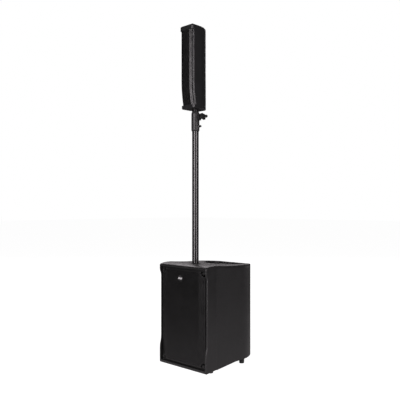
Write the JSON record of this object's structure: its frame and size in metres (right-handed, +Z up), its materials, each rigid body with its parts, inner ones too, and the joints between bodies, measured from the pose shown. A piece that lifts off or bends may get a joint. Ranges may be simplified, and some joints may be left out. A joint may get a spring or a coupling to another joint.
{
  "type": "column loudspeaker system",
  "caption": "Active bass cabinet with a top-mounted pole, clamp collar and sliding inner tube carrying a slim line-array column that turns on it.",
  "frame": {"origin": "on the floor under the middle of the bass cabinet", "axes": "+Z up, the front grilles face -Y, +X to the right seen from the front"},
  "size_m": [0.345, 0.43, 1.787],
  "materials": {
    "cabinet_black": "textured scratch-resistant paint over plywood",
    "raw_wood": "bare plywood",
    "moulded_black": "fine-grained moulding",
    "grille_black": "powder-coated perforated steel",
    "foam_black": "open-cell foam",
    "screw_black": "blackened steel",
    "badge_silver": "brushed",
    "socket_black": "satin",
    "rubber_black": "matte",
    "basket_black": "satin",
    "magnet_grey": "plated",
    "spider_cloth": "impregnated cloth",
    "cone_black": "treated paper",
    "copper": "varnished winding",
    "panel_black": "powder coat",
    "heat_sink_black": "black anodised",
    "board_green": "lacquered board",
    "connector_black": "smooth",
    "button_black": "satin",
    "light_green": "translucent",
    "pole_black": "satin powder coat",
    "inner_black": "black anodised",
    "steel": "plain",
    "collar_black": "die-cast, satin",
    "bush_black": "smooth",
    "brass": "plain",
    "knob_black": "fine-grained",
    "satellite_black": "fine-grained moulding"
  },
  "bodies": {
    "subwoofer": {"amp_board": "board_green", "amp_panel": "panel_black", "amp_panel_screws": "screw_black", "badge": "badge_silver", "cabinet_bottom": "cabinet_black", "cabinet_screws": "screw_black", "cabinet_sides": "cabinet_black", "control_bodies": "connector_black", "feet": "rubber_black", "front_baffle": "cabinet_black", "front_bezel": "moulded_black", "grille_foam": "foam_black", "heat_sink": "heat_sink_black", "input_sockets": "connector_black", "mains_inlet": "connector_black", "output_sockets": "connector_black", "pole_socket": "socket_black", "port_tubes": "moulded_black", "rear_rails": "raw_wood", "rocker_frame": "connector_black", "status_lights": "light_green", "top_deck": "moulded_black", "toroidal_supply": "copper", "woofer_basket": "basket_black", "woofer_grille": "grille_black", "woofer_magnet": "magnet_grey", "woofer_screws": "screw_black", "woofer_spider": "spider_cloth", "woofer_surround": "rubber_black"},
    "woofer_moving": {"woofer_cone": "cone_black", "woofer_dust_cap": "cone_black", "woofer_voice_coil": "copper"},
    "level_knob_a": {"level_knob_1": "button_black"},
    "level_knob_b": {"level_knob_2": "button_black"},
    "mode_push": {"mode_button": "button_black"},
    "boost_push": {"boost_button": "button_black"},
    "power_switch": {"power_rocker": "button_black"},
    "pole": {"lower_pole": "pole_black", "pole_joint": "steel", "upper_pole": "pole_black", "height_collar": "collar_black", "collar_bush": "bush_black", "index_pin_bush": "steel"},
    "clamp_nose": {"clamp_pad": "brass"},
    "clamp_handle": {"clamp_screw": "steel", "clamp_knob": "knob_black"},
    "index_plunger": {"index_pin": "steel"},
    "inner_tube": {"inner_pole": "inner_black", "inner_pole_plug": "bush_black"},
    "satellite": {"satellite_shell": "satellite_black", "satellite_top_cap": "satellite_black", "satellite_bottom_cap": "satellite_black", "satellite_cap_screws": "screw_black", "satellite_pole_cup": "bush_black", "satellite_grille": "grille_black", "satellite_baffle": "satellite_black", "driver_frames": "basket_black", "driver_magnets": "magnet_grey", "satellite_inlet": "connector_black"},
    "array_moving": {"driver_cones": "cone_black"}
  },
  "joints": [
    {"name": "woofer_travel", "type": "slide", "parent": "subwoofer", "child": "woofer_moving", "axis": [0, 1, 0], "range_m": [-0.006, 0.006], "stiffness_N_per_m": 4000},
    {"name": "level_knob_1_turn", "type": "hinge", "parent": "subwoofer", "child": "level_knob_a", "pos_m": [-0.058, 0.2, 0.3], "axis": [0, 1, 0], "range_deg": [-150, 150]},
    {"name": "level_knob_2_turn", "type": "hinge", "parent": "subwoofer", "child": "level_knob_b", "pos_m": [-0.018, 0.2, 0.3], "axis": [0, 1, 0], "range_deg": [-150, 150]},
    {"name": "mode_button_press", "type": "slide", "parent": "subwoofer", "child": "mode_push", "axis": [0, -1, 0], "range_m": [0, 0.002], "stiffness_N_per_m": 300, "springref_m": -0.001},
    {"name": "boost_button_press", "type": "slide", "parent": "subwoofer", "child": "boost_push", "axis": [0, -1, 0], "range_m": [0, 0.002], "stiffness_N_per_m": 300, "springref_m": -0.001},
    {"name": "power_rocker_tilt", "type": "hinge", "parent": "subwoofer", "child": "power_switch", "pos_m": [-0.024, 0.188, 0.092], "axis": [1, 0, 0], "range_deg": [0, 20]},
    {"name": "pole_lift", "type": "slide", "parent": "subwoofer", "child": "pole", "axis": [0, 0, 1], "range_m": [0, 0.09]},
    {"name": "clamp_nose_travel", "type": "slide", "parent": "pole", "child": "clamp_nose", "axis": [1, 0, 0], "range_m": [0, 0.00226]},
    {"name": "clamp_knob_turn", "type": "hinge", "parent": "clamp_nose", "child": "clamp_handle", "pos_m": [0.05, -0.114, 1.312], "axis": [1, 0, 0], "range_deg": [0, 540]},
    {"name": "index_pin_pull", "type": "slide", "parent": "pole", "child": "index_plunger", "axis": [1, 0, 0], "range_m": [0, 0.006], "stiffness_N_per_m": 600, "springref_m": -0.003},
    {"name": "pole_height", "type": "slide", "parent": "pole", "child": "inner_tube", "axis": [0, 0, 1], "range_m": [0, 0.3]},
    {"name": "satellite_pan", "type": "hinge", "parent": "inner_tube", "child": "satellite", "pos_m": [0, -0.114, 1.39], "axis": [0, 0, 1], "continuous": true},
    {"name": "array_travel", "type": "slide", "parent": "satellite", "child": "array_moving", "axis": [0, 1, 0], "range_m": [-0.001, 0.001], "stiffness_N_per_m": 8000}
  ],
  "couplings": [
    {"joint": "clamp_nose_travel", "follows": "clamp_knob_turn", "m_per_rad": 0.00023873}
  ]
}
